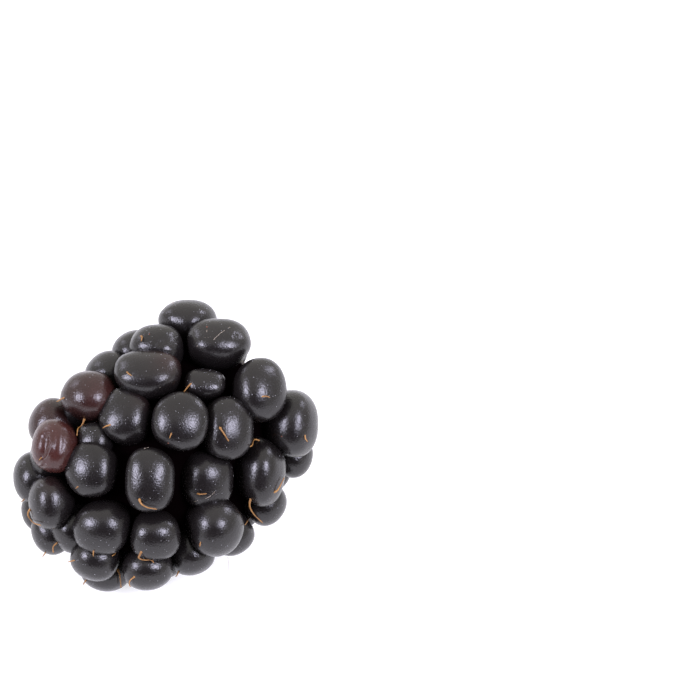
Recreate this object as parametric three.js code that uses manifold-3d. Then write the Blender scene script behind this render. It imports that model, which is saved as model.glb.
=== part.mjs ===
// A ripe bramble berry, as picked: one fused fruit of many drupelets on a pale receptacle,
// lying on its side, with the withered style of each drupelet still on it.
// Millimetres, +Z up. The tip points to -Y and the stem end to +Y; the berry rests on Z = 0.
import * as THREE from 'three';
import { mergeVertices } from 'three/addons/utils/BufferGeometryUtils.js';
import Module from 'manifold-3d';

const wasm = await Module();
wasm.setup();

// ---- driving dimensions ----

// The blunt-ended barrel on whose surface the drupelets' middles lie; the tip end dips.
const BARREL = { halfLength: 12.3, halfWidth: 9.0, bluntness: 2.7, dip: 8 };
const DEPTH_STEP = 0.05; // fineness of a line of sight followed into the berry
const LOOK_FROM = 16; // where such a line starts and ends, before and behind the middle

const FLANKS = 0.05; // a drupelet seen squarely is this much wider than the measured top of it

// How neighbours settle. Reaches and shares are of the sum of the two radii.
const PRESS = 0.86; // drupelets press together no further than this
const SPREAD = 1.0; // and those of the far side spread out to this from each other
const SLACK = 1.1; // beyond this, drupelets of the best side are drawn together in depth
const NEAR = 1.3; // only those closer than this, seen squarely, are neighbours
const PUSH = 0.25; // share of a squeeze that is relieved in one round
const DRAW = 0.11; // share of a slack that is taken up in one round
const HOLD = { best: 0.08, all: 0.3 }; // pull back towards the barrel, then to the first places
const ROUNDS = { best: 80, all: 150 };

// The far side.
const FAR_SHARE = 0.95; // it is a little flatter than the best side
const FAR_RADIUS = 2.25; // an ordinary drupelet of the far side
const FAR_UNEVENNESS = 0.08; // how much those drupelets vary, as a share
const TURNS = 600; // places tried round the whole barrel
const CLEARANCE = 3.3; // least distance from a new place to the drupelets already there
const AWAY = 0.15; // far drupelets face the best side by no more than this
const TUCKED = 0.4; // how far inside the best side's outline they stay
const LOWEST = -8.0; // the berry's weight has evened out the drupelets that it rests on
const STEM_OPENING = 4.1; // least distance from the long axis to a drupelet round the stem end

// The fused flesh under the drupelets follows their middles.
const FLESH = { share: 0.95, sharpness: 14, detail: 3 };
const RECEPTACLE = { end: 10.3, endRadius: 2.3, rootRadius: 3.3, length: 4.5, hollow: 0.5 };
const CONTACT_DEPTH = 0.5; // the drupelets underneath are flattened by this much at most

const STYLE = { radius: 0.1, sides: 5, spacing: 0.35, sunk: 0.25, lift: 0.25, drop: 0.2, rounds: 3, farLength: 1.1 };
const FAR_STYLE_EVERY = 2; // every second far drupelet has kept its style
const STYLE_LEAN = 0.75; // how far a style stands over towards the tip from straight out
const FLOOR_ROOM = 1.6; // no style of the far side starts lower than this

// The best side, looked at squarely: across runs to its right, up is its own upward.
const BEST_SIDE = { azimuth: 45, elevation: 50 };

// Drupelets of the best side, from the stem end down to the tip:
// [across, up, half width, half height, sunk], measured from the middle of the berry.
// Sunk is how far the drupelet sits behind the barrel's surface.
const DRUPELETS = [
  [1.6, 11, 2.6, 2.2, 1],
  [4.4, 9.2, 2.7, 2.2, 0],
  [-1.2, 8.8, 2.3, 2.1, -0.6],
  [-3, 8.3, 2.2, 2.2, 1.4],
  [-2, 6.4, 2.8, 2.1, 0],
  [-5.3, 6.3, 2.3, 2.3, 0.8],
  [3.1, 5.6, 1.7, 1.3, 0.9],
  [8, 5.1, 2.3, 2.7, 0],
  [-7.2, 4.5, 2.5, 2.2, 0],
  [-4, 2.7, 2.2, 2.4, 0],
  [0.9, 2.3, 2.3, 2.4, 0],
  [-10.4, 2.1, 2.3, 2.3, 1.5],
  [10.8, 2.1, 2.4, 2.9, 0.6],
  [5.1, 1.7, 2.2, 2.6, 0.1],
  [-6.7, 0.6, 1.5, 1.5, 0.9],
  [-10.3, 0.1, 2, 2.3, -0.6],
  [10.8, -0.7, 2.1, 2.1, 2],
  [-7, -2, 2.2, 2.3, 0],
  [8.1, -2.2, 2.2, 3, 0],
  [-11.8, -2.7, 2.3, 2.3, 1.2],
  [3.3, -2.8, 2.2, 2.5, 0],
  [-1.8, -2.9, 2, 2.6, 0],
  [8.3, -4.9, 2.2, 2.2, 2.4],
  [-10.6, -5, 2, 2.3, -0.9],
  [-11.4, -5.8, 2, 1.9, 3],
  [4, -7.1, 2.5, 2.6, -0.4],
  [-6.1, -7.2, 2.4, 2.3, -0.2],
  [-10.5, -7.5, 2, 2.2, 1.2],
  [5.4, -7.6, 2.2, 2.2, 2.4],
  [-1.3, -7.9, 2.1, 2.1, 0.2],
  [1.8, -9.3, 2.2, 2.2, 1.5],
  [-6.7, -9.8, 2.2, 2.2, 1],
  [-2, -10.6, 2.2, 2.2, 0.8],
  [-5.8, -10.8, 2.3, 2.2, 3],
];

// Styles of the best side, each from its root to its tip: [across, up] of every bend.
const STYLES = [
  [[-9.45, 4.45], [-9.9, 4.05], [-10.2, 3.9]],
  [[-3.9, 6.75], [-3.6, 6.45], [-3.35, 6.35]],
  [[-2.7, 9.95], [-2.35, 9.85], [-2.5, 9.4]],
  [[-5.3, 2], [-5.6, 1.9], [-5.85, 1.75]],
  [[-7.65, 2.5], [-8.05, 1.8], [-8.15, 0.95]],
  [[-11.45, -0.9], [-11.6, -1.15]],
  [[-8.2, -3.5], [-8.35, -3.65]],
  [[1.9, 5.7], [1.6, 5.25], [1.3, 4.85]],
  [[0.15, 1.3], [0, 0.85]],
  [[4.45, 1.75], [4.75, 1.3], [5.2, 0.55]],
  [[8.05, 0.6], [7.55, 0.5], [7, 0.1]],
  [[8.2, 4.5], [8.55, 4.6], [8.8, 4.45]],
  [[12.15, 1.1], [11.95, 0.8], [12.2, 0.55]],
  [[-2.75, -4.65], [-2.55, -5], [-2, -5.3], [-1.2, -5.4]],
  [[2.4, -4.2], [2.8, -4.15], [3.25, -4.1]],
  [[7.2, -4.65], [7.25, -5.4], [7.65, -6], [8.35, -6.65]],
  [[9.35, -4.1], [9.7, -3.4], [10.05, -2.7]],
  [[7.05, -6.55], [6.85, -6.75], [6.5, -7]],
  [[2.7, -8.45], [2.8, -8.8]],
  [[-2.55, -9.35], [-2.8, -9.9], [-2.6, -10.15], [-2.1, -10.2], [-1.45, -10.15]],
  [[-6.85, -9.25], [-6.85, -9.8]],
  [[-4.8, -9.45], [-5.25, -9.55]],
  [[-8.55, -10.15], [-8.9, -10.25]],
  [[-7.55, -11.95], [-7.8, -12.35]],
  [[-4.7, -10.95], [-4.6, -11.75], [-4.5, -12.5]],
  [[-3.15, -11.6], [-3.55, -11.85], [-3.5, -12.5]],
  [[-11.15, -9.45], [-11.45, -9.85]],
  [[-13.05, -4.75], [-13.4, -4.95]],
  [[-12.55, -5.55], [-12.65, -6.05], [-12.25, -6.65], [-11.45, -6.85]],
  [[0.75, -11.15], [0.5, -11.65]],
];

// ---- the best side's own axes ----

const azimuth = THREE.MathUtils.degToRad(BEST_SIDE.azimuth);
const elevation = THREE.MathUtils.degToRad(BEST_SIDE.elevation);
const TOWARD = new THREE.Vector3(
  Math.sin(azimuth) * Math.cos(elevation),
  -Math.cos(azimuth) * Math.cos(elevation),
  Math.sin(elevation)
);
const ACROSS = new THREE.Vector3(Math.cos(azimuth), Math.sin(azimuth), 0);
const UP = new THREE.Vector3().crossVectors(TOWARD, ACROSS);

function bestSidePoint(across, up, depth) {
  return new THREE.Vector3()
    .addScaledVector(ACROSS, across)
    .addScaledVector(UP, up)
    .addScaledVector(TOWARD, depth);
}

// A repeatable number from -1 to 1 for each whole number k.
function scatter(k) {
  const s = Math.sin(k * 12.9898) * 43758.5453;
  return 2 * (s - Math.floor(s)) - 1;
}

// ---- the barrel ----

const dip = THREE.MathUtils.degToRad(BARREL.dip);
const STEMWARD = new THREE.Vector3(0, Math.cos(dip), Math.sin(dip));
const SIDEWAYS = new THREE.Vector3(1, 0, 0);
const UPWARD = new THREE.Vector3().crossVectors(SIDEWAYS, STEMWARD);

// A point's distance along the long axis, and the rest of the way out to it.
function axisParts(p) {
  const along = p.dot(STEMWARD);
  return { along, out: p.clone().addScaledVector(STEMWARD, -along) };
}

// 1 on the barrel's surface, less inside and more outside.
function barrelShare(p) {
  const { along, out } = axisParts(p);
  const round = out.length() / BARREL.halfWidth;
  const length = Math.abs(along) / BARREL.halfLength;
  return (round ** BARREL.bluntness + length ** BARREL.bluntness) ** (1 / BARREL.bluntness);
}

function ontoBarrel(p, share) {
  return p.clone().multiplyScalar(share / barrelShare(p));
}

function outward(p) {
  const { along, out } = axisParts(p);
  return out
    .divideScalar(BARREL.halfWidth ** 2)
    .addScaledVector(STEMWARD, along / BARREL.halfLength ** 2)
    .normalize();
}

// How far towards the viewer the barrel lies; where the line of sight passes outside it, the
// depth at which it comes nearest.
function barrelDepth(across, up) {
  let nearest = Infinity;
  let rim = 0;
  for (let depth = LOOK_FROM; depth > -LOOK_FROM; depth -= DEPTH_STEP) {
    const share = barrelShare(bestSidePoint(across, up, depth));
    if (share < 1) return depth;
    if (share < nearest) [nearest, rim] = [share, depth];
  }
  return rim;
}

// ---- where the drupelets sit ----

function bestSideDrupelet([across, up, halfWidth, halfHeight, sunk]) {
  const depth = barrelDepth(across, up) - sunk;
  const middle = bestSidePoint(across, up, depth);
  const swell = 1 + FLANKS * Math.max(0, outward(middle).dot(TOWARD));
  const radius = (swell * (halfWidth + halfHeight)) / 2;
  const half = [swell * halfWidth, swell * halfHeight, radius];
  return { middle, axes: [ACROSS, UP, TOWARD], half, radius, home: depth, best: true };
}

function farDrupelet(middle) {
  return { middle, axes: null, half: null, radius: FAR_RADIUS, best: false };
}

function isFarPlace(p, taken) {
  const { along, out } = axisParts(p);
  const inStemOpening = along > 0 && out.length() < STEM_OPENING * 0.8;
  if (inStemOpening || outward(p).dot(TOWARD) > AWAY) return false;
  return taken.every((drupelet) => drupelet.middle.distanceTo(p) >= CLEARANCE);
}

// One of the places on an even spiral round the barrel, from the tip to the stem end.
function spiralPlace(k) {
  const goldenAngle = Math.PI * (3 - Math.sqrt(5));
  const along = -1 + (2 * (k + 0.5)) / TURNS;
  const round = Math.sqrt(1 - along * along) * BARREL.halfWidth;
  const p = STEMWARD.clone().multiplyScalar(along * BARREL.halfLength)
    .addScaledVector(SIDEWAYS, round * Math.cos(k * goldenAngle))
    .addScaledVector(UPWARD, round * Math.sin(k * goldenAngle));
  return ontoBarrel(p, FAR_SHARE);
}

// Adds a drupelet wherever the far side is still bare.
function fillFarSide(best) {
  const all = [...best];
  for (let k = 0; k < TURNS; k++) {
    const p = spiralPlace(k);
    if (isFarPlace(p, all)) all.push(farDrupelet(p));
  }
  return all;
}

// How strongly a drupelet is pushed off a neighbour, or drawn to it, as a share of the gap.
function gapPush(drupelet, other, gap, draw) {
  const distance = gap.length();
  const sum = drupelet.radius + other.radius;
  const least = sum * (drupelet.best || other.best ? PRESS : SPREAD);
  if (distance < least) return (PUSH * (least - distance)) / distance;
  if (!(drupelet.best && other.best) || distance < SLACK * sum) return 0;
  const seenGap = Math.hypot(gap.dot(ACROSS), gap.dot(UP));
  return seenGap < NEAR * sum ? (-draw * (distance - SLACK * sum)) / distance : 0;
}

function neighbourPush(drupelet, all, draw) {
  const push = new THREE.Vector3();
  for (const other of all) {
    if (other === drupelet) continue;
    const gap = drupelet.middle.clone().sub(other.middle);
    push.addScaledVector(gap, gapPush(drupelet, other, gap, draw));
  }
  return push;
}

// How far the outline of the best side reaches from the middle in the direction of (a, b).
function outlineReach(a, b) {
  const length = Math.hypot(a, b);
  let reach = 0;
  for (const [across, up, halfWidth, halfHeight] of DRUPELETS) {
    const radius = (halfWidth + halfHeight) / 2 - TUCKED;
    const along = (across * a + up * b) / length;
    const inside = along ** 2 - (across ** 2 + up ** 2 - radius ** 2);
    if (inside > 0) reach = Math.max(reach, along + Math.sqrt(inside));
  }
  return reach;
}

// Keeps a far drupelet from peeping past the outline of the best side.
function tuckIn(p, radius) {
  const [a, b] = [p.dot(ACROSS), p.dot(UP)];
  const excess = Math.min(1, (outlineReach(a, b) - radius) / Math.hypot(a, b)) - 1;
  return p.addScaledVector(ACROSS, excess * a).addScaledVector(UP, excess * b);
}

// Drupelets of the best side only give way in depth.
function settledBest(drupelet, push, hold) {
  const p = drupelet.middle.clone().addScaledVector(TOWARD, push.dot(TOWARD));
  return p.addScaledVector(TOWARD, hold * (drupelet.home - p.dot(TOWARD)));
}

// The far ones slide over the barrel, clear of the stem end and behind the best side.
function settledFar(drupelet, push) {
  const p = drupelet.middle.clone().add(push);
  const { along, out } = axisParts(p);
  const widening = STEM_OPENING / out.length() - 1;
  if (along > 0 && widening > 0) p.addScaledVector(out, widening);
  p.addScaledVector(TOWARD, -4 * Math.max(0, outward(p).dot(TOWARD) - AWAY));
  const settled = tuckIn(ontoBarrel(p, FAR_SHARE), drupelet.radius);
  return settled.setZ(Math.max(settled.z, LOWEST));
}

function settle(all, rounds, draw, hold) {
  for (let round = 0; round < rounds; round++) {
    const moved = all.map((drupelet) => {
      const push = neighbourPush(drupelet, all, draw);
      return drupelet.best ? settledBest(drupelet, push, hold) : settledFar(drupelet, push);
    });
    all.forEach((drupelet, i) => drupelet.middle.copy(moved[i]));
  }
}

// A far drupelet is measured round the barrel, along it and outward.
function shapeFarDrupelet(drupelet, k) {
  const out = outward(drupelet.middle);
  const round = STEMWARD.clone().cross(out).normalize();
  const along = new THREE.Vector3().crossVectors(out, round);
  drupelet.axes = [round, along, out];
  drupelet.half = [3 * k, 3 * k + 1, 3 * k + 2].map(
    (n) => drupelet.radius * (1 + FAR_UNEVENNESS * scatter(n))
  );
}

function layOutDrupelets() {
  const best = DRUPELETS.map(bestSideDrupelet);
  settle(best, ROUNDS.best, DRAW, HOLD.best);
  for (const drupelet of best) drupelet.home = drupelet.middle.dot(TOWARD);
  const all = fillFarSide(best);
  settle(all, ROUNDS.all, 0, HOLD.all);
  all.slice(best.length).forEach(shapeFarDrupelet);
  return all;
}

// How far from the middle the flesh reaches in one direction: a share of the distance of the
// drupelets that lie that way.
function fleshReach(direction, drupelets) {
  let [sum, weights] = [0, 0];
  for (const { middle } of drupelets) {
    const distance = middle.length();
    const weight = Math.exp(FLESH.sharpness * (direction.dot(middle) / distance - 1));
    sum += weight * distance;
    weights += weight;
  }
  return (FLESH.share * sum) / weights;
}

// ---- how the berry lies ----

function reach(drupelet, direction) {
  return Math.hypot(...drupelet.axes.map((axis, i) => axis.dot(direction) * drupelet.half[i]));
}

// The move that centres the berry over the origin and rests it on Z = 0.
function restingMove(drupelets) {
  const low = new THREE.Vector3(Infinity, Infinity, Infinity);
  const high = low.clone().negate();
  for (const drupelet of drupelets) {
    const size = new THREE.Vector3(
      reach(drupelet, new THREE.Vector3(1, 0, 0)),
      reach(drupelet, new THREE.Vector3(0, 1, 0)),
      reach(drupelet, new THREE.Vector3(0, 0, 1))
    );
    low.min(drupelet.middle.clone().sub(size));
    high.max(drupelet.middle.clone().add(size));
  }
  return new THREE.Vector3(-(low.x + high.x) / 2, -(low.y + high.y) / 2, -low.z - CONTACT_DEPTH);
}

// ---- solids ----

function toSolid(geometry) {
  geometry.deleteAttribute('normal');
  geometry.deleteAttribute('uv');
  const merged = mergeVertices(geometry, 1e-4);
  return new wasm.Manifold(
    new wasm.Mesh({
      numProp: 3,
      vertProperties: new Float32Array(merged.attributes.position.array),
      triVerts: new Uint32Array(merged.index.array),
    })
  );
}

function toGeometry(solid) {
  const { vertProperties, triVerts } = solid.getMesh();
  const geometry = new THREE.BufferGeometry();
  geometry.setAttribute('position', new THREE.BufferAttribute(new Float32Array(vertProperties), 3));
  geometry.setIndex(new THREE.BufferAttribute(new Uint32Array(triVerts), 1));
  geometry.computeVertexNormals();
  return geometry;
}

function drupeletSolid({ middle, axes, half }) {
  const place = new THREE.Matrix4()
    .makeBasis(...axes.map((axis, i) => axis.clone().multiplyScalar(half[i])))
    .setPosition(middle);
  return toSolid(new THREE.SphereGeometry(1, 9, 6).rotateX(Math.PI / 2).applyMatrix4(place));
}

function fleshSolid(drupelets) {
  const geometry = new THREE.IcosahedronGeometry(1, FLESH.detail);
  const position = geometry.attributes.position;
  const p = new THREE.Vector3();
  for (let i = 0; i < position.count; i++) {
    p.fromBufferAttribute(position, i);
    p.multiplyScalar(fleshReach(p, drupelets));
    position.setXYZ(i, p.x, p.y, p.z);
  }
  return toSolid(geometry);
}

function receptacleSolid() {
  const { end, endRadius, rootRadius, length, hollow } = RECEPTACLE;
  const plug = new THREE.CylinderGeometry(endRadius, rootRadius, length, 20)
    .translate(0, end - length / 2, 0).rotateX(dip);
  const dish = new THREE.IcosahedronGeometry(1, 3)
    .scale(endRadius * 0.75, hollow, endRadius * 0.75)
    .translate(0, end, 0).rotateX(dip);
  return toSolid(plug).subtract(toSolid(dish));
}

function underside(move) {
  return toSolid(new THREE.BoxGeometry(60, 60, 10).translate(0, 0, -move.z - 5));
}

function makeBerry(drupelets, move) {
  let berry = fleshSolid(drupelets).add(receptacleSolid());
  for (const drupelet of drupelets) berry = berry.add(drupeletSolid(drupelet));
  const geometry = toGeometry(berry.subtract(underside(move))).translate(move.x, move.y, move.z);
  const skin = new THREE.MeshStandardMaterial({ color: 0x17141a, roughness: 0.3, metalness: 0 });
  const mesh = new THREE.Mesh(geometry, skin);
  mesh.name = 'berry';
  return mesh;
}

// ---- styles ----

function fleshPoint(across, up, drupelets) {
  for (let depth = LOOK_FROM; depth > 0; depth -= 2 * DEPTH_STEP) {
    const p = bestSidePoint(across, up, depth);
    const distance = p.length();
    if (distance > BARREL.halfLength) continue;
    const reaches = fleshReach(p.clone().divideScalar(distance), drupelets) > distance;
    if (reaches) return { depth, normal: outward(p) };
  }
  return null;
}

// Where the line of sight at (across, up) first meets the berry, and which way its skin faces.
function skinPoint(across, up, drupelets) {
  let found = fleshPoint(across, up, drupelets);
  for (const { middle, axes, half } of drupelets) {
    const origin = bestSidePoint(across, up, 0).sub(middle);
    const o = axes.map((axis, i) => axis.dot(origin) / half[i]);
    const d = axes.map((axis, i) => axis.dot(TOWARD) / half[i]);
    const a = d[0] ** 2 + d[1] ** 2 + d[2] ** 2;
    const b = o[0] * d[0] + o[1] * d[1] + o[2] * d[2];
    const c = o[0] ** 2 + o[1] ** 2 + o[2] ** 2 - 1;
    if (b * b < a * c) continue;
    const depth = (-b + Math.sqrt(b * b - a * c)) / a;
    if (found && found.depth > depth) continue;
    const normal = new THREE.Vector3();
    axes.forEach((axis, i) => normal.addScaledVector(axis, (o[i] + depth * d[i]) / half[i]));
    found = { depth, normal: normal.normalize() };
  }
  return found;
}

// Adds evenly spaced places between the bends, so that a style can follow the skin.
function closeSpaced(bends) {
  const places = [bends[0]];
  for (let i = 1; i < bends.length; i++) {
    const [[a, u], [b, v]] = [bends[i - 1], bends[i]];
    const parts = Math.ceil(Math.hypot(b - a, v - u) / STYLE.spacing);
    for (let part = 1; part <= parts; part++) {
      const t = part / parts;
      places.push([a + (b - a) * t, u + (v - u) * t]);
    }
  }
  return places;
}

// Rounds off the bends between the two ends of a path.
function roundOff(path) {
  for (let round = 0; round < STYLE.rounds; round++) {
    const inner = path.slice(1, -1).map((p, i) =>
      p.clone().multiplyScalar(2).add(path[i]).add(path[i + 2]).divideScalar(4));
    path = [path[0], ...inner, path[path.length - 1]];
  }
  return path;
}

// A style lies close over the skin, and bridges the creases that it crosses.
function bestSideStylePath(bends, drupelets) {
  const path = [];
  let last = -Infinity;
  for (const [across, up] of closeSpaced(bends)) {
    const skin = skinPoint(across, up, drupelets);
    const least = last - STYLE.drop;
    const depth = skin ? Math.max(skin.depth, least) : least;
    const p = bestSidePoint(across, up, depth);
    if (skin) p.addScaledVector(skin.normal, path.length ? STYLE.lift : -STYLE.sunk);
    path.push(p);
    last = depth;
  }
  return roundOff(path);
}

function farStylePath(drupelet, k) {
  const { middle, axes, half } = drupelet;
  const lean = axes[2].clone().addScaledVector(STEMWARD, -STYLE_LEAN).normalize();
  const radius = 1 / Math.hypot(...axes.map((axis, i) => axis.dot(lean) / half[i]));
  const root = middle.clone().addScaledVector(lean, radius);
  const bend = axes[0].clone().multiplyScalar(scatter(k)).addScaledVector(axes[1], scatter(k + 50));
  const length = STYLE.farLength * (1 + 0.4 * scatter(k + 99));
  return [
    root.clone().addScaledVector(lean, -STYLE.sunk),
    root.clone().addScaledVector(lean, 0.45 * length),
    root.clone().addScaledVector(lean, 0.75 * length).addScaledVector(bend, 0.4 * length),
  ];
}

function stylePaths(drupelets, move) {
  const best = STYLES.map((bends) => bestSideStylePath(bends, drupelets));
  const far = drupelets
    .filter((drupelet, i) => !drupelet.best && i % FAR_STYLE_EVERY === 0)
    .map(farStylePath)
    .filter((path) => path[0].z + move.z > FLOOR_ROOM);
  return [...best, ...far];
}

function makeStyle(path, k, move) {
  const section = new THREE.Shape();
  for (let side = 0; side < STYLE.sides; side++) {
    const angle = (side / STYLE.sides) * 2 * Math.PI;
    section[side ? 'lineTo' : 'moveTo'](STYLE.radius * Math.cos(angle), STYLE.radius * Math.sin(angle));
  }
  section.closePath();
  const geometry = new THREE.ExtrudeGeometry(section, {
    steps: Math.max(3, path.length - 1),
    bevelEnabled: false,
    extrudePath: new THREE.CatmullRomCurve3(path),
  }).translate(move.x, move.y, move.z);
  const straw = new THREE.MeshStandardMaterial({ color: 0xb9783a, roughness: 0.7, metalness: 0 });
  const mesh = new THREE.Mesh(geometry, straw);
  mesh.name = `style_${String(k + 1).padStart(2, '0')}`;
  return mesh;
}

// ---- the berry ----

const drupelets = layOutDrupelets();
const move = restingMove(drupelets);

const group = new THREE.Group();
group.add(makeBerry(drupelets, move));
stylePaths(drupelets, move).forEach((path, k) => group.add(makeStyle(path, k, move)));

export default group;
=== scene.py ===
"""A ripe bramble berry as picked, lying on its side, with its withered styles on it.

The berry is laid out in millimetres about its own middle, on the same rules as the CAD part.
Its pieces are made in metres where that part stands.
"""

import math

import bmesh
import bpy
import numpy as np
from mathutils import Matrix, Vector
from mathutils.bvhtree import BVHTree


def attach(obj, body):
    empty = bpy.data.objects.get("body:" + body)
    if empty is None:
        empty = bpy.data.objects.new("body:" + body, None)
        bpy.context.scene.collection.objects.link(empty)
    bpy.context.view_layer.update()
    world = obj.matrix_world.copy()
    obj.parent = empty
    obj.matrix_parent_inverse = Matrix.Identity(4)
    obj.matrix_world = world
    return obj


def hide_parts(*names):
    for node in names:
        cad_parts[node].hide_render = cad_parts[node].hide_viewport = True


MM = 0.001
IMAGE_PX = 700  # the picture's width and height
MM_PER_PX = 0.09  # what a pixel of it covers at the berry

# ---- the barrel on whose surface the drupelets' middles lie, as in the CAD part ----

BARREL = {"half_length": 12.3, "half_width": 9.0, "bluntness": 2.7, "dip": 8.0}
DEPTH_STEP = 0.05  # fineness of a line of sight followed into the berry
LOOK_FROM = 16.0  # where such a line starts and ends, before and behind the middle
FLANKS = 0.05  # a drupelet seen squarely is this much wider than the measured top of it

# ---- how neighbours settle; reaches and shares are of the sum of the two radii ----

PRESS = 0.86  # drupelets press together no further than this
SPREAD = 1.0  # and those of the far side spread out to this from each other
SLACK = 1.1  # beyond this, drupelets of the best side are drawn together in depth
NEAR = 1.3  # only those closer than this, seen squarely, are neighbours
PUSH = 0.25  # share of a squeeze that is relieved in one round
DRAW = 0.11  # share of a slack that is taken up in one round
HOLD_BEST, HOLD_ALL = 0.08, 0.3  # pull back towards the barrel, then to the first places
ROUNDS_BEST, ROUNDS_ALL = 80, 150
FAR_APART = 1e6  # stands for a drupelet's distance from itself, so that it doesn't push itself

# ---- the far side ----

FAR_SHARE = 0.95  # it is a little flatter than the best side
FAR_RADIUS = 2.25  # an ordinary drupelet of the far side
FAR_UNEVENNESS = 0.08  # how much those drupelets vary, as a share
TURNS = 600  # places tried round the whole barrel
GOLDEN_ANGLE = math.pi * (3 - math.sqrt(5))
CLEARANCE = 3.3  # least distance from a new place to the drupelets already there
AWAY = 0.15  # far drupelets face the best side by no more than this
BACK_OFF = 4  # one that faces it more backs off by this many times the excess, in millimetres
TUCKED = 0.4  # how far inside the best side's outline they stay
LOWEST = -8.0  # the berry's weight has evened out the drupelets that it rests on
STEM_OPENING = 4.1  # least distance from the long axis to a drupelet round the stem end
STEM_BARE = 0.8  # none starts within this share of that distance
CONTACT_DEPTH = 0.5  # the drupelets underneath are flattened by this much at most

# ---- the shape of a drupelet ----

LEAN_IN = 0.6  # share of the way from outward to the viewer that a dome leans, if it faces them
# How flat a drupelet of the best side is outward, compared with its width: (how squarely it
# faces the viewer, flatness).
DOME = ((0.5, 1.0), (0.9, 0.74))
FAR_DOME = 0.9  # and how flat every drupelet of the far side is
PILLOW = 2.15  # 2 would be an ellipsoid; more is flatter on top
SQUARENESS = {"round": 2.1, "long": 1.4}  # 2 would be round; a longer drupelet is squarer
ROOT = 1.08  # a drupelet reaches this many times its radius inward
TURN_IN = 0.9  # how gradually the dome turns into the root
FULLNESS = 1.05  # a flank swells this much where it is crowded, before its neighbours press on it
CROWDING_POWER = 4  # the higher, the narrower the part of a flank that one neighbour crowds
NEARBY = 1.6  # only drupelets closer than this many times the sum of the radii are looked at
TOUCHING = 1.25  # and those closer than this many times the sum of their reaches are pressed
PRESSED = (0.98, 1.04)  # pressing leaves from this little to this much of a flank's own reach
CREASE_GAP = 0.12  # between neighbours that press on each other
CREASE_SHARPNESS = 6
SIDELONG = 1e-3  # a direction that faces a neighbour by less than this counts as this
REFIT = {"least": 0.88, "most": 1.2, "shift": 0.4}  # how far a pressed drupelet swells back or moves
DARK_RIM = 0.12  # the share of a drupelet's width that is lost in the dark of its creases
LUMPS = 0.018  # unevenness of the skin, as a share of the radius
LUMP_WAVES = {"count": 5, "first": 2.2, "step": 1.1, "fade": 0.7, "start": 3}
DETAIL, FINE_DETAIL = 5, 6  # how finely a drupelet is divided, and one with marks

# The share of the way out to the drupelets' middles that the flesh fills: from the hidden one
# to the other as a direction faces the viewer more. A higher sharpness follows them closer.
FLESH = {"share": 0.78, "hidden_share": 0.93, "facing": (0.1, 0.5), "sharpness": 14}
FLESH_END = 9.0  # no flesh lies further along the berry than this

# ---- the receptacle; each step of its outline is (millimetres along the berry, radius) ----

RECEPTACLE = (
    (5.4, 3.9), (7.0, 3.8), (8.4, 3.65), (9.2, 3.4), (9.6, 3.1), (9.8, 2.7),
    (9.75, 2.2), (9.5, 1.6), (9.3, 1.0), (9.2, 0.5), (9.15, 0.0),
)
RECEPTACLE_RINGS, RECEPTACLE_SIDES = 60, 120
DARKENING_RADII = (2.3, 3.3)  # it darkens outward from the first radius, and is black at the second
# Its ripples, each (times round, slant, start): fibres, lobes that put it out of round, and
# the unevenness of its end.
FIBRES, FIBRE_DEPTH = ((23, 2.5, 0), (52, 0, 0)), 0.06
LOBES, LOBE_SHARE = ((3, 0, 1), (5, 2, 0)), 0.035
END_RIPPLES = ((7, 3, 0),)

# ---- the styles ----

# How finely a path is spaced, how deep its root is sunk, how high it lies over the skin, the
# length over which it rises there, and the most that it drops in a step.
STYLE = {"spacing": 0.12, "sunk": 0.2, "lift": 0.22, "rise": 0.35, "drop": 0.08}
STYLE_SIDES = 8
# From root to stigma: (share of the length, radius).
STYLE_RADII = ((0, 0.17), (0.08, 0.12), (0.2, 0.075), (0.5, 0.058), (0.85, 0.045), (0.93, 0.065), (1, 0.03))
STYLE_UNEVENNESS = 0.12
FAR_STYLE_EVERY = 2  # every second far drupelet has kept its style
# It is straight for the first share of its length, and then bends aside.
FAR_STYLE = {"length": 1.1, "unevenness": 0.4, "straight": 0.45, "end": 0.75, "aside": 0.4}
STYLE_LEAN = 0.75  # how far a style stands over towards the tip from straight out
FLOOR_ROOM = 1.6  # no style of the far side starts lower than this
BEND_ROUNDS = 3  # how often the bends of a path are rounded off
ODD_WAY = (0.3, 0.5, 0.8)  # a direction that no path starts along

# ---- the best side, looked at squarely: across runs to its right, up is its own upward ----

BEST_SIDE = {"azimuth": 45.0, "elevation": 50.0}

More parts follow.
